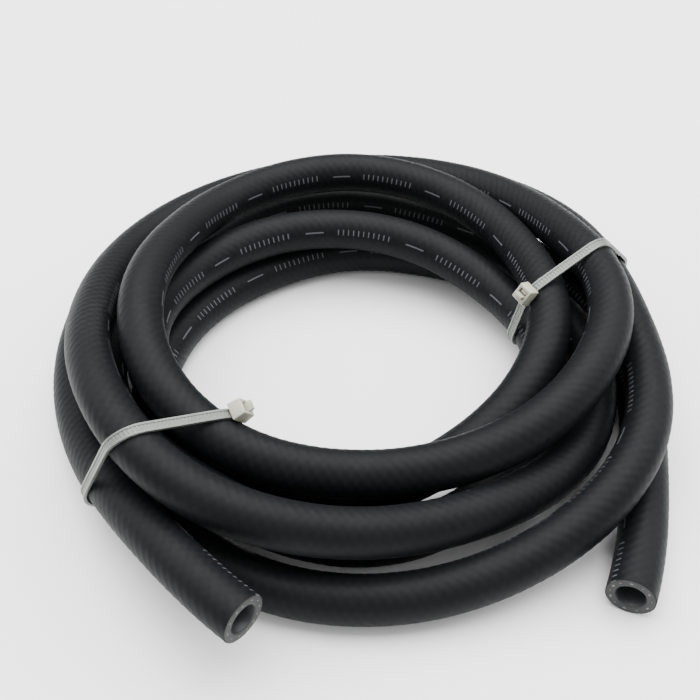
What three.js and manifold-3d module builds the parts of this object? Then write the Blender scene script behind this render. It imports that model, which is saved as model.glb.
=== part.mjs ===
// Coil of fuel hose, held by two cable ties.
// Millimetres, +Z up. The coil lies flat on the floor, and its two ends run out at the front.
// A clock angle counts clockwise seen from above: 0 is the back, 90 the right, 180 the front.

import * as THREE from 'three';
import Module from 'manifold-3d';
import { mergeVertices } from 'three/addons/utils/BufferGeometryUtils.js';

const wasm = await Module();
wasm.setup();

// Hose
const hoseOuter = 17;
const hoseBore = 10;
const hoseSides = 12;
const boreSides = 8;

// Coil
const coilRadius = 94;          // from the coil's centre to the middle of its bundle
const strandGap = 0.7;          // room that the lay gives to each strand
const startClock = 194;         // cut end at the front left
const endClock = 2300;          // cut end at the front right, almost six turns on
const stepClock = 12;           // one facet of the hose

// Cable ties
const strapWidth = 3.6;
const strapThickness = 1.2;
const strapClearance = 0.3;     // between the strap and the hose
const strapSides = 32;
const headLength = 7.4;         // along the strap
const headWidth = 6.6;          // along the hose
const headHeight = 5;
const headChamfer = 1;
const tailLength = 1.8;         // cut tail, past the head
const tailSetback = 1.2;        // from the middle of the head
const strapLift = 2.6;          // height that a strap under the bundle adds to the strands near it
const liftSpread = 60;          // degrees of clock over which it does

// Each tie stands across the bundle at a clock angle, turned out of the radius and leaning
// along the hose. The head sits at an angle round the strap: 0 outwards, 90 up, 180 inwards.
const ties = [
  { name: 'cable_tie_left', clock: 225, turn: -21, lean: 18, headAngle: 142 },
  { name: 'cable_tie_right', clock: 74, turn: 19, lean: -12, headAngle: 150 },
];

// The lay of the hose, one pair for each 30 degrees of clock, in hose pitches: how far out of
// the middle of the bundle it runs, and how far above a strand that lies on the floor. The
// route is the smooth curve that these pairs pull towards them.
const layClock = 150;
const layStep = 30;
const lay = [
  // run-in of the first end, level, over the first and second turns at the front
  [5.60, 1.00], [3.10, 1.05],
  // first turn: outermost, on the floor, over the last end at the right
  [1.15, 1.15], [0.60, 0.10], [0.85, 0.00], [1.45, 0.00], [2.30, 0.00], [2.55, 0.00],
  [2.05, 0.45], [1.05, 1.05], [0.65, 1.00], [1.50, 1.15], [1.05, 0.20], [0.90, 0.00],
  // second turn: dives under the rest to the innermost place, and comes out at the front
  [0.75, 0.00], [-0.70, 0.00], [-1.00, 0.00], [-1.25, 0.00], [-1.35, 0.00], [-1.10, 0.05],
  [-0.90, 0.00], [-0.30, 0.00], [0.00, 0.30], [0.20, 0.35], [0.00, 0.80], [0.15, 1.05],
  // third turn: over the first one at the left and back, then up to the top at the right
  [0.70, 1.75], [0.25, 2.15], [0.20, 1.55], [0.80, 0.90], [1.50, 0.55], [1.70, 0.60],
  [1.25, 1.05], [0.15, 1.65], [0.35, 2.00], [-0.25, 1.65], [-0.85, 1.30], [-1.30, 1.05],
  // fourth turn: on top at the left and back, then down inside
  [-0.85, 1.35], [-0.80, 1.90], [-0.95, 2.40], [-0.85, 2.00], [0.00, 1.50], [0.55, 1.50],
  [0.15, 1.30], [-0.75, 1.20], [-1.00, 1.50], [-1.30, 1.10], [-1.65, 0.45], [-1.50, 0.00],
  // fifth turn: inside, above the second one at the back
  [-1.20, 0.20], [-1.00, 1.00], [-0.80, 1.20], [-0.95, 0.90], [-1.25, 1.05], [-1.45, 1.00],
  [-1.55, 0.90], [-1.30, 0.25], [-1.00, 0.45], [-0.85, 0.05], [-0.65, 0.00], [-0.20, 0.10],
  // sixth turn: in the middle of the bundle, then out on the floor at the right
  [-0.05, 1.00], [0.10, 1.10], [0.05, 0.55], [0.00, 0.05], [0.50, 0.30], [0.70, 0.35],
  [0.55, 0.00], [0.75, 0.00], [0.95, 0.00], [1.25, 0.00],
  // run-out of the last end
  [3.35, 0.00], [5.70, 0.00], [7.60, 0.00],
];

const hosePitch = hoseOuter + strandGap;

const rubber = new THREE.MeshStandardMaterial({ color: 0x1b1e20, roughness: 0.55, metalness: 0 });
const nylon = new THREE.MeshStandardMaterial({ color: 0xc9cbc2, roughness: 0.4, metalness: 0 });

// Value of one column of the lay at a clock angle, blended as a uniform cubic B-spline.
function blendedLay(column, clock) {
  const place = (clock - layClock) / layStep;
  const station = Math.floor(place);
  const u = place - station;
  const weights = [
    (1 - u) ** 3,
    3 * u ** 3 - 6 * u ** 2 + 4,
    -3 * u ** 3 + 3 * u ** 2 + 3 * u + 1,
    u ** 3,
  ];
  return weights.reduce((sum, weight, i) => sum + weight * lay[station - 1 + i][column], 0) / 6;
}

// Height that the straps add to every strand near them.
function liftAt(clock) {
  let lift = 0;
  for (const tie of ties) {
    const away = Math.abs(THREE.MathUtils.euclideanModulo(clock - tie.clock + 180, 360) - 180);
    if (away < liftSpread) lift += strapLift * (0.5 + 0.5 * Math.cos((Math.PI * away) / liftSpread));
  }
  return lift;
}

// Middle line of the hose, a point for any clock angle between its two cut ends.
class HoseRoute extends THREE.Curve {
  at(clock) {
    const radius = coilRadius + hosePitch * blendedLay(0, clock);
    const height = hoseOuter / 2 + hosePitch * blendedLay(1, clock) + liftAt(clock);
    const angle = THREE.MathUtils.degToRad(clock);
    return new THREE.Vector3(radius * Math.sin(angle), radius * Math.cos(angle), height);
  }

  getPoint(t) {
    return this.at(THREE.MathUtils.lerp(startClock, endClock, t));
  }

  // Steps are even in clock angle, so that the facets of neighbouring turns lie side by side.
  getUtoTmapping(u) {
    return u;
  }
}

const route = new HoseRoute();

// Corners of a regular polygon whose corners lie on a circle.
function ring(radius, sides) {
  return Array.from({ length: sides }, (_, i) => {
    const angle = (2 * Math.PI * i) / sides;
    return new THREE.Vector2(radius * Math.cos(angle), radius * Math.sin(angle));
  });
}

function makeHose() {
  const section = new THREE.Shape(ring(hoseOuter / 2, hoseSides));
  section.holes.push(new THREE.Path(ring(hoseBore / 2, boreSides)));
  const steps = Math.round((endClock - startClock) / stepClock);
  const geometry = new THREE.ExtrudeGeometry(section, { steps, extrudePath: route });
  const mesh = new THREE.Mesh(geometry, rubber);
  mesh.name = 'hose';
  return mesh;
}

// Axes and centre of a tie: X outwards across the bundle, Y up, Z along the hose.
function tieFrame(tie) {
  const clocks = [];
  for (let clock = tie.clock; clock < endClock; clock += 360) {
    if (clock > startClock) clocks.push(clock);
  }
  const centre = new THREE.Vector3();
  clocks.forEach((clock) => centre.addScaledVector(route.at(clock), 1 / clocks.length));
  const angle = THREE.MathUtils.degToRad(90 - tie.clock + tie.turn);
  const outward = new THREE.Vector3(Math.cos(angle), Math.sin(angle), 0);
  const along = outward.clone().cross(new THREE.Vector3(0, 0, 1));
  along.applyAxisAngle(outward, THREE.MathUtils.degToRad(-tie.lean));
  const up = along.clone().cross(outward);
  return new THREE.Matrix4().makeBasis(outward, up, along).setPosition(centre);
}

// Corners of the hose's faces where they are cut off at a half width from the tie's plane, in
// the tie's own axes. The far side of the coil is left out.
function hosePointsWithin(hose, frame, halfWidth) {
  const faces = hose.geometry.clone().applyMatrix4(frame.clone().invert());
  const position = faces.attributes.position;
  const corner = (i) => new THREE.Vector3().fromBufferAttribute(position, i);
  const points = [];
  for (let i = 0; i < position.count; i += 3) {
    for (let side = 0; side < 3; side += 1) {
      const a = corner(i + side);
      const b = corner(i + ((side + 1) % 3));
      const slope = b.z - a.z || Number.EPSILON;
      const ends = [(-halfWidth - a.z) / slope, (halfWidth - a.z) / slope];
      const from = Math.max(0, Math.min(...ends));
      const to = Math.min(1, Math.max(...ends));
      if (from > to || a.x < -coilRadius) continue;
      points.push(a.clone().lerp(b, from), a.clone().lerp(b, to));
    }
  }
  return points;
}

// How far the points reach in a direction across the tie's plane.
function reachOf(points, angle) {
  const out = new THREE.Vector2(Math.cos(angle), Math.sin(angle));
  return points.reduce((reach, p) => Math.max(reach, p.x * out.x + p.y * out.y), -Infinity);
}

// Convex outline that keeps a distance from all the points: corners of its tangent lines.
function outlineAround(points, distance) {
  const turn = (2 * Math.PI) / strapSides;
  const reaches = Array.from({ length: strapSides }, (_, i) => reachOf(points, i * turn));
  return reaches.map((reach, i) => {
    const here = reach + distance;
    const next = reaches[(i + 1) % strapSides] + distance;
    const ahead = (next - here * Math.cos(turn)) / Math.sin(turn);
    const angle = i * turn;
    return new THREE.Vector2(
      here * Math.cos(angle) - ahead * Math.sin(angle),
      here * Math.sin(angle) + ahead * Math.cos(angle),
    );
  });
}

function solidOf(geometry) {
  geometry.deleteAttribute('normal');
  geometry.deleteAttribute('uv');
  const merged = mergeVertices(geometry, 1e-4);
  return new wasm.Manifold(new wasm.Mesh({
    numProp: 3,
    vertProperties: new Float32Array(merged.attributes.position.array),
    triVerts: new Uint32Array(merged.index.array),
  }));
}

function geometryOf(solid) {
  const mesh = solid.getMesh();
  const geometry = new THREE.BufferGeometry();
  geometry.setAttribute('position', new THREE.BufferAttribute(new Float32Array(mesh.vertProperties), 3));
  geometry.setIndex(new THREE.BufferAttribute(new Uint32Array(mesh.triVerts), 1));
  return geometry;
}

// Outline extruded across the tie's plane, to the same width on both sides of it.
function plate(shape, width) {
  const geometry = new THREE.ExtrudeGeometry(shape, { depth: width, bevelEnabled: false });
  geometry.translate(0, 0, -width / 2);
  return geometry;
}

// Head outline in its own axes: X out of the strap, Y along the strap.
function headShape() {
  const half = headLength / 2;
  return new THREE.Shape([
    new THREE.Vector2(0, -half),
    new THREE.Vector2(headHeight - headChamfer, -half),
    new THREE.Vector2(headHeight, -half + headChamfer),
    new THREE.Vector2(headHeight, half - headChamfer),
    new THREE.Vector2(headHeight - headChamfer, half),
    new THREE.Vector2(0, half),
  ]);
}

function makeTie(tie, hose) {
  const frame = tieFrame(tie);
  const underStrap = hosePointsWithin(hose, frame, strapWidth / 2);
  const strap = new THREE.Shape(outlineAround(underStrap, strapClearance + strapThickness));
  const inner = outlineAround(underStrap, strapClearance);
  strap.holes.push(new THREE.Path(inner));

  // The head stands on the outline's tangent at the head's angle.
  const angle = THREE.MathUtils.degToRad(tie.headAngle);
  const out = new THREE.Vector2(Math.cos(angle), Math.sin(angle));
  const onward = new THREE.Vector2(-out.y, out.x);
  const base = reachOf(hosePointsWithin(hose, frame, headWidth / 2), angle) + strapClearance;
  const touching = inner.reduce((best, p) => (p.dot(out) > best.dot(out) ? p : best));
  const foot = out.clone().multiplyScalar(base).addScaledVector(onward, touching.dot(onward));

  const head = plate(headShape(), headWidth);
  const tail = new THREE.BoxGeometry(headHeight + tailLength, strapThickness, strapWidth);
  tail.translate((headHeight + tailLength) / 2, tailSetback, 0);
  for (const geometry of [head, tail]) {
    geometry.rotateZ(angle);
    geometry.translate(foot.x, foot.y, 0);
  }

  const solid = solidOf(plate(strap, strapWidth)).add(solidOf(head)).add(solidOf(tail));
  const mesh = new THREE.Mesh(geometryOf(solid), nylon);
  mesh.name = tie.name;
  mesh.applyMatrix4(frame);
  return mesh;
}

// The origin is under the middle of the whole coil, on the floor.
const coil = new THREE.Group();
const hose = makeHose();
coil.add(hose, ...ties.map((tie) => makeTie(tie, hose)));
const middle = new THREE.Box3().setFromObject(coil, true).getCenter(new THREE.Vector3());
coil.position.set(-middle.x, -middle.y, 0);

export default coil;
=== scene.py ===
"""Fuel hose coil: a black textile-covered hose, wound in a coil and held by two cable ties."""

import math

import bmesh
import bpy
import numpy as np
from mathutils import Matrix, Vector


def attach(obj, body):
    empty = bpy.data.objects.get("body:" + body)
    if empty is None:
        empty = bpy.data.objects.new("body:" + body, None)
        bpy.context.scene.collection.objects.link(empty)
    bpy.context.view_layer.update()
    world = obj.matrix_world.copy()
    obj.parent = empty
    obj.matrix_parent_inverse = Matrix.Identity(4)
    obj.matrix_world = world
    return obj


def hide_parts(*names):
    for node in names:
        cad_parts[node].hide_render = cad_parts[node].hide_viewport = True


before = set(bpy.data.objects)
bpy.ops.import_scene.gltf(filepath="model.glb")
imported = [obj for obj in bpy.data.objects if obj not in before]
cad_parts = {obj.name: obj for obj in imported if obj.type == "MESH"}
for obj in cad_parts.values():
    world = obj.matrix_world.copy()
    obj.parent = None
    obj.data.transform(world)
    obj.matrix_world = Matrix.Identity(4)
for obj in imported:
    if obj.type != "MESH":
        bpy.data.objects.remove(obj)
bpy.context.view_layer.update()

bl_info = {
    "name": "Fuel hose coil",
    "version": (1, 0, 0),
    "blender": (4, 5, 0),
    "location": "View3D > Sidebar > Fuel hose",
    "description": "Builds a coil of fuel hose with its cable ties, floor, lights and camera",
    "category": "Object",
}

# The lay of the hose, one pair for each 30 degrees of clock, in hose pitches: how far out of
# the middle of the bundle it runs, and how far above a strand that lies on the floor. A clock
# angle counts clockwise seen from above: 0 is the back, 90 the right, 180 the front.
LAY_CLOCK = 150
LAY_STEP = 30
LAY = [
    # run-in of the first end, level, over the first and second turns at the front
    (5.60, 1.00), (3.10, 1.05),
    # first turn: outermost, on the floor, over the last end at the right
    (1.15, 1.15), (0.60, 0.10), (0.85, 0.00), (1.45, 0.00), (2.30, 0.00), (2.55, 0.00),
    (2.05, 0.45), (1.05, 1.05), (0.65, 1.00), (1.50, 1.15), (1.05, 0.20), (0.90, 0.00),
    # second turn: dives under the rest to the innermost place, and comes out at the front
    (0.75, 0.00), (-0.70, 0.00), (-1.00, 0.00), (-1.25, 0.00), (-1.35, 0.00), (-1.10, 0.05),
    (-0.90, 0.00), (-0.30, 0.00), (0.00, 0.30), (0.20, 0.35), (0.00, 0.80), (0.15, 1.05),
    # third turn: over the first one at the left and back, then up to the top at the right
    (0.70, 1.75), (0.25, 2.15), (0.20, 1.55), (0.80, 0.90), (1.50, 0.55), (1.70, 0.60),
    (1.25, 1.05), (0.15, 1.65), (0.35, 2.00), (-0.25, 1.65), (-0.85, 1.30), (-1.30, 1.05),
    # fourth turn: on top at the left and back, then down inside
    (-0.85, 1.35), (-0.80, 1.90), (-0.95, 2.40), (-0.85, 2.00), (0.00, 1.50), (0.55, 1.50),
    (0.15, 1.30), (-0.75, 1.20), (-1.00, 1.50), (-1.30, 1.10), (-1.65, 0.45), (-1.50, 0.00),
    # fifth turn: inside, above the second one at the back
    (-1.20, 0.20), (-1.00, 1.00), (-0.80, 1.20), (-0.95, 0.90), (-1.25, 1.05), (-1.45, 1.00),
    (-1.55, 0.90), (-1.30, 0.25), (-1.00, 0.45), (-0.85, 0.05), (-0.65, 0.00), (-0.20, 0.10),
    # sixth turn: in the middle of the bundle, then out on the floor at the right
    (-0.05, 1.00), (0.10, 1.10), (0.05, 0.55), (0.00, 0.05), (0.50, 0.30), (0.70, 0.35),
    (0.55, 0.00), (0.75, 0.00), (0.95, 0.00), (1.25, 0.00),
    # run-out of the last end
    (3.35, 0.00), (5.70, 0.00), (7.60, 0.00),
]
START_CLOCK = 194
END_CLOCK = 2300

# Where the middle of the bundle's circle lies, from the middle of the whole coil's box.
COIL_CENTRE = Vector((-0.0000921, -0.0045871, 0.0))

# Each tie: clock angle, turn out of the radius, lean along the hose, place of the head.
TIES = {
    "tie_left": ("cable_tie_left", 225, -21, 18, 142),
    "tie_right": ("cable_tie_right", 74, 19, -12, 150),
}
LIFT_SPREAD = 60

# The plain broken line along the cover, in metres: it repeats a row of cross ticks and a dash.
LINE_REPEAT = 0.048
TICK_PITCH = 0.0024
TICK_SHARE = 0.22          # of the tick pitch
TICKS_END = 0.55           # share of the repeat where the row of ticks ends
DASH_SPAN = (0.68, 0.86)   # shares of the repeat where the dash starts and ends
LINE_PLACE = 0.15          # share of the girth, from the top round to the coil's inside
TICK_HALF_WIDTH = 0.0012
DASH_HALF_WIDTH = 0.0003

# Weave of the cover
CROSS_WEAVE = 0.7          # strength of the crossing yarns beside the main ones
RIDGE_SWING = 0.29         # brings the weave to the range 0 to 1
THREADS_PER_YARN = 5

# Kinds of face on the hose, in the order of its materials
COVER, CUT, BORE = range(3)

# The cut faces: rings of the wall, and how far they stand out past the cut
CUT_CHAMFER = 0.0004
BORE_CHAMFER = 0.0003
YARN_BAND = 0.0006         # half the width of the band that the yarn ends stand in
EDGE_STANDS_OUT = 0.00008
WALL_STANDS_OUT = 0.00012

# Yarn ends
YARN_ENDS = 12
YARN_END_SIZE = (0.00062, 0.00036, 0.00022)   # half sizes: round the wall, across it, out of it

# Where the lights point
LIGHT_TARGET = Vector((0.0, 0.0, 0.0))

# Strength of the world's light from level with the floor, and from overhead
WALL_LIGHT = 0.25
CEILING_LIGHT = 1.4

# Fixed facets and edges
ROUTE_SAMPLES = 8400
STRAP_SAMPLE = 0.0003
STRAP_SMOOTHINGS = 30
STRAP_EDGE = 0.00012
HEAD_EDGE = 0.00045


class HoseSizes(bpy.types.PropertyGroup):
    """Sizes of the hose and of its coil."""

    outside: bpy.props.FloatProperty(
        name="Outside", description="Outside diameter of the hose", default=0.017, unit="LENGTH")
    bore: bpy.props.FloatProperty(
        name="Bore", description="Diameter of the bore", default=0.010, unit="LENGTH")
    coil_radius: bpy.props.FloatProperty(
        name="Coil radius", description="From the coil's centre to the middle of its bundle",
        default=0.094, unit="LENGTH")
    strand_gap: bpy.props.FloatProperty(
        name="Strand gap", description="Room that the lay gives to each strand",
        default=0.0007, unit="LENGTH", precision=5)
    strap_lift: bpy.props.FloatProperty(
        name="Strap lift", description="Height that a strap under the bundle adds to it",
        default=0.0026, unit="LENGTH", precision=5)
    yarn_pitch: bpy.props.FloatProperty(
        name="Yarn pitch", description="Distance along the hose from one yarn ridge to the next",
        default=0.00375, unit="LENGTH", precision=5)
    yarn_starts: bpy.props.IntProperty(
        name="Yarn starts", description="Yarns that wind round the cover side by side",
        default=10, min=1)
    yarn_depth: bpy.props.FloatProperty(
        name="Yarn depth", description="Height of a yarn ridge of the cover",
        default=0.00008, unit="LENGTH", precision=5)
    bore_step: bpy.props.IntProperty(
        name="Bore step", description="Rings of the cover for each ring of the bore",
        default=10, min=1)


class TieSizes(bpy.types.PropertyGroup):
    """Sizes of the cable ties."""

    strap_width: bpy.props.FloatProperty(
        name="Strap width", description="Width of the strap", default=0.0036, unit="LENGTH",
        precision=5)
    strap_thickness: bpy.props.FloatProperty(
        name="Strap thickness", description="Thickness of the strap", default=0.0012,
        unit="LENGTH", precision=5)
    clearance: bpy.props.FloatProperty(
        name="Clearance", description="Room between the strap and the hose", default=0.0002,
        unit="LENGTH", precision=5)
    rail_width: bpy.props.FloatProperty(
        name="Rail width", description="Width of each raised rail along the strap",
        default=0.0008, unit="LENGTH", precision=5)
    channel_depth: bpy.props.FloatProperty(
        name="Channel depth", description="Depth of the channel between the rails",
        default=0.0003, unit="LENGTH", precision=5)
    tooth_pitch: bpy.props.FloatProperty(
        name="Tooth pitch", description="Distance from one cross rib to the next",
        default=0.0013, unit="LENGTH", precision=5)
    head_size: bpy.props.FloatVectorProperty(
        name="Head", description="Height, length along the strap and width of the head",
        default=(0.005, 0.0074, 0.0066), unit="LENGTH", precision=5)
    tail_length: bpy.props.FloatProperty(
        name="Tail", description="Cut tail past the head", default=0.0018, unit="LENGTH",
        precision=5)


class CoilFinishes(bpy.types.PropertyGroup):
    """Colours of the coil's finishes."""

    rubber: bpy.props.FloatVectorProperty(
        name="Rubber", description="Colour of the hose's cover", subtype="COLOR",
        default=(0.0045, 0.0052, 0.0058))
    cut_rubber: bpy.props.FloatVectorProperty(
        name="Cut rubber", description="Colour of the wall where it is cut", subtype="COLOR",
        default=(0.013, 0.014, 0.0147))
    yarn: bpy.props.FloatVectorProperty(
        name="Yarn", description="Colour of the yarn ends in the cut wall", subtype="COLOR",
        default=(0.20, 0.19, 0.16))
    line: bpy.props.FloatVectorProperty(
        name="Line", description="Colour of the plain broken line along the hose",
        subtype="COLOR", default=(0.07, 0.075, 0.08))
    # Painted shade: the straps are the same nylon as the heads, with their colour painted darker.
    strap: bpy.props.FloatVectorProperty(
        name="Strap", description="Colour of the thin nylon of the straps", subtype="COLOR",
        default=(0.13, 0.14, 0.13))
    head: bpy.props.FloatVectorProperty(
        name="Head", description="Colour of the thick nylon of the heads", subtype="COLOR",
        default=(0.40, 0.40, 0.33))
    floor: bpy.props.FloatVectorProperty(
        name="Floor", description="Colour of the floor", subtype="COLOR",
        default=(0.93, 0.93, 0.93))


class StudioSettings(bpy.types.PropertyGroup):
    """The camera's lens, place, tilt and roll."""

    lens: bpy.props.FloatProperty(
        name="Lens", description="Focal length on a 36 mm wide sensor", default=53.9)
    camera_place: bpy.props.FloatVectorProperty(
        name="Camera", description="Place of the camera", unit="LENGTH",
        default=(-0.00049, -0.30826, 0.29946))
    camera_tilt: bpy.props.FloatProperty(
        name="Tilt", description="Angle of the camera up from straight down",
        default=math.radians(47.16), subtype="ANGLE")
    camera_roll: bpy.props.FloatProperty(
        name="Roll", description="Roll of the camera", default=math.radians(-0.1),
        subtype="ANGLE")


def deselect_all():
    if bpy.context.object and bpy.context.object.mode != "OBJECT":
        bpy.ops.object.mode_set(mode="OBJECT")
    bpy.ops.object.select_all(action="DESELECT")


def name_piece(name):
    """Names the object that an operator has just added."""
    piece = bpy.context.object
    piece.name = name
    piece.data.name = name
    return piece


def settle(piece):
    """Puts the piece's place, turn and scale into its mesh."""
    deselect_all()
    piece.select_set(True)
    bpy.context.view_layer.objects.active = piece
    bpy.ops.object.transform_apply(location=True, rotation=True, scale=True)


def smooth_by_angle(piece, degrees):
    deselect_all()
    piece.select_set(True)
    bpy.context.view_layer.objects.active = piece
    bpy.ops.object.shade_smooth_by_angle(angle=math.radians(degrees))


def set_finish(piece, material):
    piece.data.materials.clear()
    piece.data.materials.append(material)


# Route of the hose

def blended_lay(column, clock):
    """One column of the lay at a clock angle, blended as a uniform cubic B-spline."""
    place = (clock - LAY_CLOCK) / LAY_STEP
    station = math.floor(place)
    u = place - station
    weights = (
        (1 - u) ** 3,
        3 * u ** 3 - 6 * u ** 2 + 4,
        -3 * u ** 3 + 3 * u ** 2 + 3 * u + 1,
        u ** 3,
    )
    return sum(w * LAY[station - 1 + i][column] for i, w in enumerate(weights)) / 6


def route_at(clock):
    """Point on the middle line of the hose, in metres."""
    sizes = bpy.context.scene.hose_sizes
    pitch = sizes.outside + sizes.strand_gap
    radius = sizes.coil_radius + pitch * blended_lay(0, clock)
    height = sizes.outside / 2 + pitch * blended_lay(1, clock)
    for _, tie_clock, _, _, _ in TIES.values():
        away = abs((clock - tie_clock + 180) % 360 - 180)
        if away < LIFT_SPREAD:
            height += sizes.strap_lift * (0.5 + 0.5 * math.cos(math.pi * away / LIFT_SPREAD))
    angle = math.radians(clock)
    return COIL_CENTRE + Vector((radius * math.sin(angle), radius * math.cos(angle), height))


def even_route(step):
    """Points an even distance apart along the hose, about a step, and their distances."""
    fine = np.array([route_at(c) for c in np.linspace(START_CLOCK, END_CLOCK, ROUTE_SAMPLES)])
    run = np.concatenate([[0], np.cumsum(np.linalg.norm(np.diff(fine, axis=0), axis=1))])
    count = round(run[-1] / step)
    along = np.linspace(0, run[-1], count + 1)
    return np.stack([np.interp(along, run, fine[:, i]) for i in range(3)], 1), along


def carried_axes(points):
    """Tangent and two cross axes at each point, carried along without twist. The first cross
    axis starts pointing up."""
    tangents = np.gradient(points, axis=0)
    tangents /= np.linalg.norm(tangents, axis=1)[:, None]
    side = np.array([0.0, 0.0, 1.0])
    firsts = []
    for tangent in tangents:
        side = side - tangent * side.dot(tangent)
        side /= np.linalg.norm(side)
        firsts.append(side)
    firsts = np.array(firsts)
    return tangents, firsts, np.cross(tangents, firsts)


# Materials

def new_finish(name):
    material = bpy.data.materials.new(name)
    material.use_nodes = True
    nodes = material.node_tree.nodes
    return material, nodes, material.node_tree.links, nodes["Principled BSDF"]


def math_node(nodes, links, operation, first, second=None, third=None):
    node = nodes.new("ShaderNodeMath")
    node.operation = operation
    for i, value in enumerate((first, second, third)):
        if value is None:
            continue
        if isinstance(value, (int, float)):
            node.inputs[i].default_value = value
        else:
            links.new(value, node.inputs[i])
    return node.outputs[0]


def colour_mix(nodes, links, factor, first, second):
    node = nodes.new("ShaderNodeMix")
    node.data_type = "RGBA"
    links.new(factor, node.inputs[0])
    for socket, value in ((node.inputs[6], first), (node.inputs[7], second)):
        if isinstance(value, bpy.types.NodeSocket):
            links.new(value, socket)
        else:
            socket.default_value = (*value, 1)
    return node.outputs[2]


def noise_node(nodes, links, vector, scale, detail):
    node = nodes.new("ShaderNodeTexNoise")
    node.inputs["Scale"].default_value = scale
    node.inputs["Detail"].default_value = detail
    links.new(vector, node.inputs["Vector"])
    return node.outputs["Fac"]


def set_bump(nodes, links, shader, height, strength, distance):
    bump = nodes.new("ShaderNodeBump")
    bump.inputs["Strength"].default_value = strength
    bump.inputs["Distance"].default_value = distance
    links.new(height, bump.inputs["Height"])
    links.new(bump.outputs[0], shader.inputs["Normal"])


def cover_finish():
    """Black rubbered yarn cover: spiral ridges, fine cross yarns, and a plain broken line. The
    UV map runs along the hose in x and round it in y, both in metres."""
    sizes = bpy.context.scene.hose_sizes
    colours = bpy.context.scene.coil_finishes
    material, nodes, links, shader = new_finish("hose_cover")
    uv = nodes.new("ShaderNodeUVMap")
    uv.uv_map = "along_and_round"
    split = nodes.new("ShaderNodeSeparateXYZ")
    links.new(uv.outputs[0], split.inputs[0])
    along, round_ = split.outputs[0], split.outputs[1]
    place = nodes.new("ShaderNodeTexCoord")

    girth = math.pi * sizes.outside
    turns_along = math_node(nodes, links, "MULTIPLY", along, 1 / sizes.yarn_pitch)
    turns_round = math_node(nodes, links, "MULTIPLY", round_, sizes.yarn_starts / girth)
    phase = math_node(nodes, links, "SUBTRACT", turns_along, turns_round)
    wave = math_node(nodes, links, "COSINE", math_node(nodes, links, "MULTIPLY", phase, math.tau))
    crossing = math_node(nodes, links, "ADD", turns_along, turns_round)
    crossing = math_node(nodes, links, "MULTIPLY", crossing, math.tau)
    crossing = math_node(nodes, links, "COSINE", crossing)
    weave = math_node(nodes, links, "MULTIPLY_ADD", crossing, CROSS_WEAVE, wave)
    ridge = math_node(nodes, links, "MULTIPLY_ADD", weave, RIDGE_SWING, 0.5)

    # Fine threads run along each ridge.
    threads = math_node(nodes, links, "MULTIPLY", phase, math.tau * THREADS_PER_YARN)
    threads = math_node(nodes, links, "COSINE", threads)
    stretch = nodes.new("ShaderNodeCombineXYZ")
    links.new(math_node(nodes, links, "MULTIPLY", phase, 1.6), stretch.inputs[0])
    links.new(math_node(nodes, links, "MULTIPLY", round_, 260), stretch.inputs[1])
    links.new(math_node(nodes, links, "MULTIPLY", along, 40), stretch.inputs[2])
    uneven = noise_node(nodes, links, stretch.outputs[0], 1.0, 3)
    grain = noise_node(nodes, links, place.outputs["Object"], 2600, 2)
    patches = noise_node(nodes, links, place.outputs["Object"], 45, 3)

    # A plain broken line on the upper inner side: fine cross ticks, then one long dash.
    def below(value, limit):
        return math_node(nodes, links, "LESS_THAN", value, limit)

    def both(first, second):
        return math_node(nodes, links, "MULTIPLY", first, second)

    def share_of(length):
        return math_node(nodes, links, "FRACT",
                         math_node(nodes, links, "MULTIPLY", along, 1 / length))

    repeat = share_of(LINE_REPEAT)
    away = math_node(nodes, links, "ABSOLUTE",
                     math_node(nodes, links, "SUBTRACT", round_, LINE_PLACE * girth))
    ticks = both(below(share_of(TICK_PITCH), TICK_SHARE), below(repeat, TICKS_END))
    ticks = both(ticks, below(away, TICK_HALF_WIDTH))
    dash = both(math_node(nodes, links, "GREATER_THAN", repeat, DASH_SPAN[0]),
                below(repeat, DASH_SPAN[1]))
    dash = both(dash, below(away, DASH_HALF_WIDTH))
    line = math_node(nodes, links, "ADD", ticks, dash)

    # Painted shade: the weave's grooves, where its height is low, are painted darker than its
    # crests.
    dark = tuple(c * 0.55 for c in colours.rubber)
    light = tuple(c * 1.7 for c in colours.rubber)
    base = colour_mix(nodes, links, ridge, dark, tuple(colours.rubber))
    base = colour_mix(nodes, links, math_node(nodes, links, "MULTIPLY", patches, 0.5), base, light)
    base = colour_mix(nodes, links, line, base, tuple(colours.line))
    links.new(base, shader.inputs["Base Color"])

    rough = math_node(nodes, links, "MULTIPLY_ADD", uneven, 0.22, 0.40)
    links.new(rough, shader.inputs["Roughness"])
    shader.inputs["Specular IOR Level"].default_value = 0.085

    height = math_node(nodes, links, "MULTIPLY_ADD", threads, 0.05, ridge)
    height = math_node(nodes, links, "MULTIPLY_ADD", uneven, 0.45, height)
    height = math_node(nodes, links, "MULTIPLY_ADD", grain, 0.10, height)
    set_bump(nodes, links, shader, height, 0.6, 0.00009)
    return material


def cut_finish():
    """Cut rubber of the wall and the bore's inside."""
    colours = bpy.context.scene.coil_finishes
    material, nodes, links, shader = new_finish("hose_cut_rubber")
    place = nodes.new("ShaderNodeTexCoord")
    grain = noise_node(nodes, links, place.outputs["Object"], 1500, 4)
    patches = noise_node(nodes, links, place.outputs["Object"], 260, 2)
    dark = tuple(c * 0.6 for c in colours.cut_rubber)
    light = tuple(c * 1.5 for c in colours.cut_rubber)
    base = colour_mix(nodes, links, patches, dark, light)
    links.new(base, shader.inputs["Base Color"])
    links.new(math_node(nodes, links, "MULTIPLY_ADD", grain, 0.2, 0.6), shader.inputs["Roughness"])
    set_bump(nodes, links, shader, grain, 0.6, 0.0002)
    return material


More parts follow.
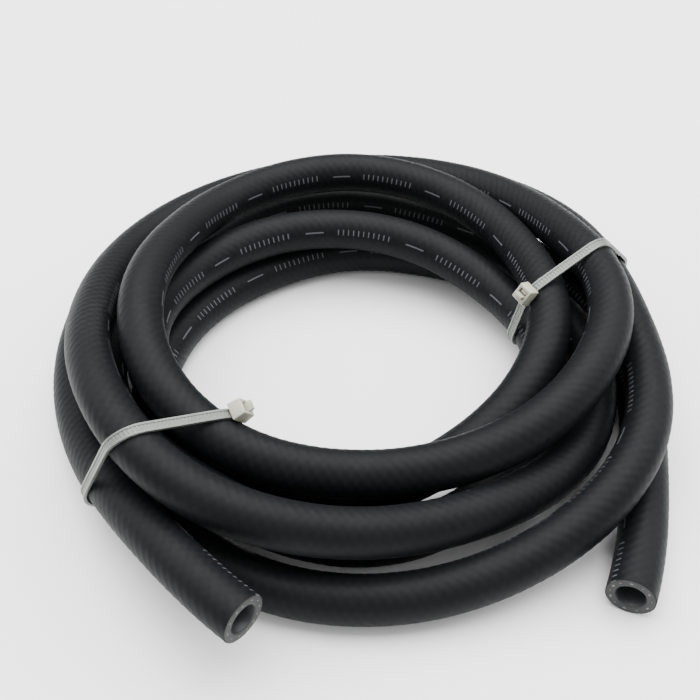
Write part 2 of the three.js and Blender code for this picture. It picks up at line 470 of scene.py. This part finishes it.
def bore_finish():
    """Smooth black inside of the bore."""
    material, nodes, links, shader = new_finish("hose_bore")
    place = nodes.new("ShaderNodeTexCoord")
    streaks = noise_node(nodes, links, place.outputs["Object"], 300, 3)
    base = colour_mix(nodes, links, streaks, (0.008, 0.009, 0.010), (0.028, 0.031, 0.033))
    links.new(base, shader.inputs["Base Color"])
    links.new(math_node(nodes, links, "MULTIPLY_ADD", streaks, 0.2, 0.35),
              shader.inputs["Roughness"])
    return material


def yarn_finish():
    """Frayed pale yarn ends."""
    colours = bpy.context.scene.coil_finishes
    material, nodes, links, shader = new_finish("yarn_end")
    place = nodes.new("ShaderNodeTexCoord")
    fibres = noise_node(nodes, links, place.outputs["Object"], 5000, 3)
    dark = tuple(c * 0.45 for c in colours.yarn)
    links.new(colour_mix(nodes, links, fibres, dark, tuple(colours.yarn)),
              shader.inputs["Base Color"])
    shader.inputs["Roughness"].default_value = 0.9
    set_bump(nodes, links, shader, fibres, 0.8, 0.0001)
    return material


def nylon_finish(name, colour):
    """Natural nylon: milky, slightly see-through, with a fine moulded skin."""
    material, nodes, links, shader = new_finish(name)
    place = nodes.new("ShaderNodeTexCoord")
    cloud = noise_node(nodes, links, place.outputs["Object"], 140, 3)
    skin = noise_node(nodes, links, place.outputs["Object"], 2400, 2)
    light = tuple(colour)
    dark = (light[0] * 0.82, light[1] * 0.82, light[2] * 0.78)
    links.new(colour_mix(nodes, links, cloud, dark, light), shader.inputs["Base Color"])
    links.new(math_node(nodes, links, "MULTIPLY_ADD", cloud, 0.15, 0.28),
              shader.inputs["Roughness"])
    shader.inputs["Subsurface Weight"].default_value = 0.2
    shader.inputs["Subsurface Radius"].default_value = (1.0, 1.0, 0.9)
    shader.inputs["Subsurface Scale"].default_value = 0.0008
    shader.inputs["IOR"].default_value = 1.53
    set_bump(nodes, links, shader, skin, 0.25, 0.00008)
    return material


def floor_finish():
    colours = bpy.context.scene.coil_finishes
    material, nodes, links, shader = new_finish("floor")
    place = nodes.new("ShaderNodeTexCoord")
    tone = noise_node(nodes, links, place.outputs["Object"], 1.2, 2)
    light = tuple(colours.floor)
    links.new(colour_mix(nodes, links, tone, tuple(c * 0.985 for c in light), light),
              shader.inputs["Base Color"])
    shader.inputs["Roughness"].default_value = 0.85
    shader.inputs["Specular IOR Level"].default_value = 0.1
    return material


# Pieces

class CameraMaker(bpy.types.Operator):
    """Add the camera at the photograph's viewing angle"""

    bl_idname = "fuel_hose.camera"
    bl_label = "Add camera"

    def execute(self, context):
        studio = context.scene.hose_studio
        deselect_all()
        bpy.ops.object.camera_add()
        camera = name_piece("camera")
        camera.matrix_world = (
            Matrix.Translation(studio.camera_place)
            @ Matrix.Rotation(studio.camera_tilt, 4, "X")
            @ Matrix.Rotation(studio.camera_roll, 4, "Z")
        )
        camera.data.sensor_width = 36
        camera.data.lens = studio.lens
        camera.data.clip_start = 0.01
        camera.data.clip_end = 50
        camera.data.dof.use_dof = False
        context.scene.camera = camera
        return {"FINISHED"}


class HoseMaker(bpy.types.Operator):
    """Build the hose: its ridged cover, its cut ends and its bore"""

    bl_idname = "fuel_hose.hose"
    bl_label = "Build hose"

    def execute(self, context):
        sizes = context.scene.hose_sizes
        step = sizes.yarn_pitch / 3
        points, along = even_route(step)
        count = len(points)
        sides = 3 * sizes.yarn_starts
        tangents, ups, overs = carried_axes(points)
        angles = np.arange(sides) * math.tau / sides
        radials = (ups[:, None, :] * np.cos(angles)[None, :, None]
                   + overs[:, None, :] * np.sin(angles)[None, :, None])

        # A ridge runs over one corner in three, and moves on by one corner at each ring, to the
        # right for one set of yarns and to the left for the set that crosses it.
        ring_numbers, side_numbers = np.arange(count)[:, None], np.arange(sides)[None, :]
        right = (ring_numbers - side_numbers) % 3 != 0
        left = (ring_numbers + side_numbers) % 3 != 0
        wobble = 0.25 * np.sin(along[:, None] * 310 + angles[None, :] * 3)
        drop = sizes.yarn_depth * (0.7 * right + 0.5 * left) * (1 + wobble)
        cover = points[:, None, :] + radials * (sizes.outside / 2 - drop)[:, :, None]

        # The cut face, from the cover's edge to the edge of the bore.
        outer, inner = sizes.outside / 2, sizes.bore / 2
        middle = (outer + inner) / 2
        face_radii = [outer - CUT_CHAMFER, middle + YARN_BAND, middle - YARN_BAND,
                      inner + BORE_CHAMFER]
        bore_rings = list(range(0, count, sizes.bore_step))
        if bore_rings[-1] != count - 1:
            bore_rings[-1] = count - 1

        def ring_at(i, radius, out=0.0):
            return points[i] + radials[i] * radius + tangents[i] * out

        vertices = []
        faces = []
        face_kinds = []
        uvs = []
        girth = math.pi * sizes.outside

        def add_ring(ring):
            start = len(vertices)
            vertices.extend(map(tuple, ring))
            return start

        def bridge(a, b, u_a, u_b, kind, ridged=False):
            for j in range(sides):
                k = (j + 1) % sides
                v_a, v_b = j / sides * girth, (j + 1) / sides * girth
                corners = (
                    (a + j, u_a, v_a), (a + k, u_a, v_b), (b + k, u_b, v_b), (b + j, u_b, v_a))
                split = (corners[:3], (corners[0], *corners[2:])) if ridged else (corners,)
                for face in split:
                    faces.append([c[0] for c in face])
                    uvs.extend((c[1], c[2]) for c in face)
                    face_kinds.append(kind)

        starts = [add_ring(ring) for ring in cover]
        for i in range(count - 1):
            bridge(starts[i], starts[i + 1], along[i], along[i + 1], COVER, ridged=True)
        end_edges = []
        for i, start, side in ((0, starts[0], -1), (count - 1, starts[-1], 1)):
            before = start
            for radius in face_radii + [inner]:
                out = side * {
                    face_radii[0]: EDGE_STANDS_OUT,
                    inner: -BORE_CHAMFER,
                }.get(radius, WALL_STANDS_OUT)
                ring = add_ring(ring_at(i, radius, out))
                kind = COVER if radius == face_radii[0] else CUT
                if side > 0:
                    bridge(before, ring, along[i], along[i], kind)
                else:
                    bridge(ring, before, along[i], along[i], kind)
                before = ring
            end_edges.append(before)
        before, first = end_edges[0], bore_rings[0]
        for i in bore_rings[1:-1]:
            ring = add_ring(ring_at(i, inner))
            bridge(ring, before, along[i], along[first], BORE)
            before, first = ring, i
        bridge(end_edges[1], before, along[-1], along[first], BORE)

        deselect_all()
        mesh = bpy.data.meshes.new("hose_tube")
        mesh.from_pydata(vertices, [], faces)
        mesh.polygons.foreach_set("material_index", face_kinds)
        layer = mesh.uv_layers.new(name="along_and_round")
        layer.data.foreach_set("uv", np.array(uvs, dtype=np.float32).ravel())
        mesh.polygons.foreach_set("use_smooth", [True] * len(faces))
        mesh.update()
        hose = bpy.data.objects.new("hose_tube", mesh)
        context.collection.objects.link(hose)
        for material in (cover_finish(), cut_finish(), bore_finish()):
            mesh.materials.append(material)
        smooth_by_angle(hose, 60)

        path = points[::4].tolist()
        path[-1] = points[-1].tolist()
        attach(hose, "root")
        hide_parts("hose")
        return {"FINISHED"}


class YarnEndMaker(bpy.types.Operator):
    """Add the pale yarn ends that show in the middle of the cut wall"""

    bl_idname = "fuel_hose.yarn_ends"
    bl_label = "Add yarn ends"

    def execute(self, context):
        sizes = context.scene.hose_sizes
        points, _ = even_route(sizes.yarn_pitch / 3)
        tangents, ups, overs = carried_axes(points)
        middle = (sizes.outside + sizes.bore) / 4
        copies = []
        for end, (i, side) in enumerate(((0, -1), (len(points) - 1, 1))):
            for yarn in range(YARN_ENDS):
                angle = math.tau * (yarn + 0.3 * math.sin(7 * yarn + end)) / YARN_ENDS
                radial = ups[i] * math.cos(angle) + overs[i] * math.sin(angle)
                place = points[i] + radial * middle + tangents[i] * side * EDGE_STANDS_OUT
                deselect_all()
                bpy.ops.mesh.primitive_uv_sphere_add(segments=10, ring_count=6, radius=1)
                piece = name_piece(f"yarn_{end}_{yarn}")
                across = Vector(np.cross(tangents[i], radial))
                size = 0.85 + 0.25 * math.sin(3.1 * yarn + 2 * end)
                piece.matrix_world = Matrix.Translation(place) @ Matrix((
                    (*(across * YARN_END_SIZE[0] * size), 0),
                    (*(Vector(radial) * YARN_END_SIZE[1] * size), 0),
                    (*(Vector(tangents[i]) * YARN_END_SIZE[2]), 0),
                    (0, 0, 0, 1),
                )).transposed()
                copies.append(piece)
        deselect_all()
        for piece in copies:
            piece.select_set(True)
        context.view_layer.objects.active = copies[0]
        bpy.ops.object.transform_apply(location=True, rotation=True, scale=True)
        bpy.ops.object.join()
        yarns_piece = name_piece("yarn_ends")
        bpy.ops.object.mode_set(mode="EDIT")
        bpy.ops.mesh.select_all(action="SELECT")
        bpy.ops.mesh.normals_make_consistent(inside=False)
        bpy.ops.object.mode_set(mode="OBJECT")
        smooth_by_angle(yarns_piece, 80)
        set_finish(yarns_piece, yarn_finish())
        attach(yarns_piece, "root")
        return {"FINISHED"}


def hull_of(points):
    """Convex hull of 2D points, anticlockwise."""
    points = sorted(set(map(tuple, points)))

    def half(ordered):
        chain = []
        for p in ordered:
            while len(chain) > 1 and (
                (chain[-1][0] - chain[-2][0]) * (p[1] - chain[-2][1])
                - (chain[-1][1] - chain[-2][1]) * (p[0] - chain[-2][0])
            ) <= 0:
                chain.pop()
            chain.append(p)
        return chain[:-1]

    return half(points) + half(points[::-1])


def tie_frame(clock, turn, lean):
    """Axes and centre of a tie: X outwards across the bundle, Y up, Z along the hose."""
    clocks = [c for c in np.arange(clock, END_CLOCK, 360) if c > START_CLOCK]
    centre = sum((route_at(c) for c in clocks), Vector()) / len(clocks)
    angle = math.radians(90 - clock + turn)
    outward = Vector((math.cos(angle), math.sin(angle), 0))
    along = outward.cross(Vector((0, 0, 1)))
    along = Matrix.Rotation(math.radians(-lean), 3, outward) @ along
    up = along.cross(outward)
    basis = Matrix((outward, up, along)).transposed().to_4x4()
    return Matrix.Translation(centre) @ basis


def strap_line(frame_matrix, half_width):
    """Line of the strap round the bundle, in the tie's own axes."""
    sizes = bpy.context.scene.hose_sizes
    ties = bpy.context.scene.tie_sizes
    hose = bpy.data.objects["hose_tube"]
    verts = np.empty(len(hose.data.vertices) * 3)
    hose.data.vertices.foreach_get("co", verts)
    verts = verts.reshape(-1, 3)
    inverse = np.array(frame_matrix.inverted())
    local = verts @ inverse[:3, :3].T + inverse[:3, 3]
    near = local[(np.abs(local[:, 2]) < half_width) & (local[:, 0] > -sizes.coil_radius)]
    hull = np.array(hull_of(near[:, :2]))
    edges = np.roll(hull, -1, axis=0) - hull
    lengths = np.linalg.norm(edges, axis=1)
    keep = lengths > 1e-6
    hull = hull[keep]
    dense = []
    for a, b in zip(hull, np.roll(hull, -1, axis=0)):
        n = max(1, int(np.linalg.norm(b - a) / STRAP_SAMPLE))
        dense.extend(a + (b - a) * k / n for k in range(n))
    dense = np.array(dense)
    for _ in range(STRAP_SMOOTHINGS):
        dense = 0.5 * dense + 0.25 * (np.roll(dense, 1, axis=0) + np.roll(dense, -1, axis=0))
    tangent = np.roll(dense, -1, axis=0) - np.roll(dense, 1, axis=0)
    tangent /= np.linalg.norm(tangent, axis=1)[:, None]
    outward = np.stack([tangent[:, 1], -tangent[:, 0]], 1)
    dense = dense + outward * ties.clearance
    loop = np.vstack([dense, dense[:1]])
    run = np.concatenate([[0], np.cumsum(np.linalg.norm(np.diff(loop, axis=0), axis=1))])
    count = 2 * round(run[-1] / ties.tooth_pitch)
    even = np.linspace(0, run[-1], count, endpoint=False)
    return np.stack([np.interp(even, run, loop[:, 0]), np.interp(even, run, loop[:, 1])], 1)


def select_faces(piece, test):
    """In edit mode, selects the faces whose middle and normal pass the test."""
    mesh = bmesh.from_edit_mesh(piece.data)
    for face in mesh.faces:
        face.select_set(bool(test(face)))
    mesh.select_flush_mode()
    bmesh.update_edit_mesh(piece.data)


def round_edges(piece, width, segments, angle=30):
    edge = piece.modifiers.new("edge", "BEVEL")
    edge.width = width
    edge.segments = segments
    edge.limit_method = "ANGLE"
    edge.angle_limit = math.radians(angle)
    bpy.ops.object.modifier_apply(modifier="edge")


def make_strap(name, line):
    """A band round the bundle, with raised rails and cross ribs in the channel between."""
    ties = bpy.context.scene.tie_sizes
    count = len(line)
    deselect_all()
    bpy.ops.mesh.primitive_circle_add(vertices=count, radius=1, fill_type="NOTHING")
    strap = name_piece(name)
    for vertex, place in zip(strap.data.vertices, line):
        vertex.co = (place[0], place[1], -ties.strap_width / 2)
    bpy.ops.object.mode_set(mode="EDIT")
    bpy.ops.mesh.select_mode(type="EDGE")
    bpy.ops.mesh.select_all(action="SELECT")
    for width in (ties.rail_width, ties.strap_width - 2 * ties.rail_width, ties.rail_width):
        bpy.ops.mesh.extrude_edges_move(TRANSFORM_OT_translate={"value": (0, 0, width)})
    bpy.ops.mesh.select_all(action="SELECT")
    bpy.ops.mesh.normals_make_consistent(inside=False)
    bpy.ops.object.mode_set(mode="OBJECT")
    wall = strap.modifiers.new("wall", "SOLIDIFY")
    wall.thickness = ties.strap_thickness
    wall.offset = 1
    bpy.ops.object.modifier_apply(modifier="wall")
    bpy.ops.object.mode_set(mode="EDIT")
    bpy.ops.mesh.select_mode(type="FACE")
    middle = np.mean(line, axis=0)
    half = ties.strap_width / 2 - ties.rail_width

    def is_channel(face):
        where = face.calc_center_median()
        if abs(where.z) > half or abs(face.normal.z) > 0.5:
            return False
        nearest = line[np.argmin(np.sum((line - np.array(where.xy)) ** 2, axis=1))]
        return np.linalg.norm(np.array(where.xy) - nearest) > ties.strap_thickness * 0.6

    select_faces(strap, is_channel)
    bpy.ops.mesh.extrude_region_shrink_fatten(
        TRANSFORM_OT_shrink_fatten={"value": -ties.channel_depth})
    mesh = bmesh.from_edit_mesh(strap.data)
    channel = [f for f in mesh.faces if f.select]
    channel.sort(key=lambda f: math.atan2(*(f.calc_center_median().xy - Vector(middle))))
    for i, face in enumerate(channel):
        face.select_set(i % 2 == 0)
    mesh.select_flush_mode()
    bmesh.update_edit_mesh(strap.data)
    bpy.ops.mesh.extrude_region_shrink_fatten(
        TRANSFORM_OT_shrink_fatten={"value": ties.channel_depth * 0.5})
    bpy.ops.mesh.select_all(action="SELECT")
    bpy.ops.mesh.normals_make_consistent(inside=False)
    bpy.ops.object.mode_set(mode="OBJECT")
    round_edges(strap, STRAP_EDGE, 2, 50)
    return strap


def make_block(name, size, place, bevel, segments):
    """A block with rounded edges."""
    deselect_all()
    bpy.ops.mesh.primitive_cube_add(size=1, location=place)
    block = name_piece(name)
    block.scale = size
    settle(block)
    round_edges(block, bevel, segments)
    return block


def make_head(name):
    """Tie head at the origin: X out of the strap, Y along it, Z along the hose. It has a slot
    that the strap's tail comes out of, and a tongue that holds it."""
    ties = bpy.context.scene.tie_sizes
    height, length, width = ties.head_size
    deselect_all()
    bpy.ops.mesh.primitive_cube_add(size=1, location=(height / 2, 0, 0))
    head = name_piece(name)
    head.scale = (height, length, width)
    settle(head)
    bpy.ops.object.mode_set(mode="EDIT")
    bpy.ops.mesh.select_mode(type="FACE")
    select_faces(head, lambda f: f.normal.x > 0.9)
    bpy.ops.transform.resize(value=(1, 0.86, 0.9))
    bpy.ops.mesh.inset(thickness=0.0012, depth=0)
    bpy.ops.transform.resize(value=(1, 0.9, 1.05))
    bpy.ops.mesh.extrude_region_move(TRANSFORM_OT_translate={"value": (-height * 0.72, 0, 0)})
    bpy.ops.mesh.select_all(action="SELECT")
    bpy.ops.mesh.normals_make_consistent(inside=False)
    bpy.ops.object.mode_set(mode="OBJECT")
    round_edges(head, HEAD_EDGE, 3, 40)
    tongue = make_block("tongue", (height * 0.55, 0.0012, width * 0.42),
                        (height * 0.55, -0.0010, 0), 0.0002, 2)
    tail = make_block("tail", (height + ties.tail_length, ties.strap_thickness, ties.strap_width),
                      ((height + ties.tail_length) / 2, 0.0007, 0), 0.00015, 2)
    deselect_all()
    for part in (tongue, tail, head):
        part.select_set(True)
    bpy.context.view_layer.objects.active = head
    bpy.ops.object.join()
    return head


class TieMaker(bpy.types.Operator):
    """Build the two cable ties round the bundle"""

    bl_idname = "fuel_hose.ties"
    bl_label = "Build cable ties"

    def execute(self, context):
        ties = context.scene.tie_sizes
        colours = context.scene.coil_finishes
        # The straps get the heads' nylon with a darker colour painted in as shade.
        strap_nylon_painted_shade = nylon_finish("nylon_strap_painted_shade", colours.strap)
        head_nylon = nylon_finish("nylon_head", colours.head)
        for name, (node, clock, turn, lean, head_angle) in TIES.items():
            place = tie_frame(clock, turn, lean)
            line = strap_line(place, ties.strap_width / 2)
            strap = make_strap(name, line)
            angle = math.radians(head_angle)
            out = np.array([math.cos(angle), math.sin(angle)])
            onward = np.array([-out[1], out[0]])
            wide = strap_line(place, ties.head_size[2] / 2)
            reach = max(*(line @ out), *(wide @ out))
            foot = out * reach + onward * (line[np.argmax(line @ out)] @ onward)
            head = make_head(name + "_head")
            set_finish(head, head_nylon)
            set_finish(strap, strap_nylon_painted_shade)
            head.matrix_world = (
                Matrix.Translation((foot[0], foot[1], 0)) @ Matrix.Rotation(angle, 4, "Z"))
            settle(head)
            deselect_all()
            head.select_set(True)
            strap.select_set(True)
            context.view_layer.objects.active = strap
            bpy.ops.object.join()
            strap.matrix_world = place
            settle(strap)
            smooth_by_angle(strap, 35)
            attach(strap, "root")
            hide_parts(node)
        return {"FINISHED"}


class StageMaker(bpy.types.Operator):
    """Add the pale floor and the soft lights"""

    bl_idname = "fuel_hose.stage"
    bl_label = "Add stage"

    def execute(self, context):
        deselect_all()
        bpy.ops.mesh.primitive_plane_add(size=8, location=(0, 0, -0.0001))
        floor = name_piece("floor")
        settle(floor)
        set_finish(floor, floor_finish())
        lights = (
            ("light_top", (0.0, 0.35, 1.3), 1.6, 62),
            ("light_left", (-1.2, 0.3, 0.9), 0.9, 12),
            ("light_right", (1.2, 0.3, 0.9), 0.9, 12),
        )
        for name, place, size, power in lights:
            deselect_all()
            bpy.ops.object.light_add(type="AREA", location=place)
            light = name_piece(name)
            light.data.size = size
            light.data.energy = power
            aim = LIGHT_TARGET - Vector(place)
            light.rotation_euler = aim.to_track_quat("-Z", "Y").to_euler()
        # The walls are dimmer than the ceiling.
        world = bpy.data.worlds.new("studio")
        world.use_nodes = True
        nodes, links = world.node_tree.nodes, world.node_tree.links
        place = nodes.new("ShaderNodeTexCoord")
        split = nodes.new("ShaderNodeSeparateXYZ")
        links.new(place.outputs["Generated"], split.inputs[0])
        level = nodes.new("ShaderNodeMapRange")
        for socket, value in (("From Min", 0.0), ("From Max", 0.7), ("To Min", WALL_LIGHT),
                              ("To Max", CEILING_LIGHT)):
            level.inputs[socket].default_value = value
        links.new(split.outputs[2], level.inputs["Value"])
        background = nodes["Background"]
        background.inputs[0].default_value = (1, 1, 1, 1)
        links.new(level.outputs[0], background.inputs[1])
        context.scene.world = world
        return {"FINISHED"}


class CoilPanel(bpy.types.Panel):
    """Lists the coil's pieces and sizes"""

    bl_idname = "VIEW3D_PT_fuel_hose"
    bl_label = "Fuel hose coil"
    bl_space_type = "VIEW_3D"
    bl_region_type = "UI"
    bl_category = "Fuel hose"

    def draw(self, context):
        layout = self.layout
        for maker in OPERATORS:
            layout.operator(maker.bl_idname)
        for group in ("hose_sizes", "tie_sizes", "coil_finishes", "hose_studio"):
            values = getattr(context.scene, group)
            box = layout.box()
            for key in values.bl_rna.properties.keys():
                if key not in ("rna_type", "name"):
                    box.prop(values, key)


OPERATORS = (CameraMaker, HoseMaker, YarnEndMaker, TieMaker, StageMaker)
GROUPS = {
    "hose_sizes": HoseSizes,
    "tie_sizes": TieSizes,
    "coil_finishes": CoilFinishes,
    "hose_studio": StudioSettings,
}


def register():
    for cls in (*GROUPS.values(), *OPERATORS, CoilPanel):
        bpy.utils.register_class(cls)
    for name, group in GROUPS.items():
        setattr(bpy.types.Scene, name, bpy.props.PointerProperty(type=group))


def unregister():
    for name in GROUPS:
        delattr(bpy.types.Scene, name)
    for cls in (CoilPanel, *OPERATORS[::-1], *GROUPS.values()):
        bpy.utils.unregister_class(cls)


def main():
    register()
    bpy.ops.fuel_hose.camera()
    bpy.ops.fuel_hose.hose()
    bpy.ops.fuel_hose.yarn_ends()
    bpy.ops.fuel_hose.ties()
    bpy.ops.fuel_hose.stage()
    bpy.context.view_layer.update()


if __name__ == "__main__":
    main()
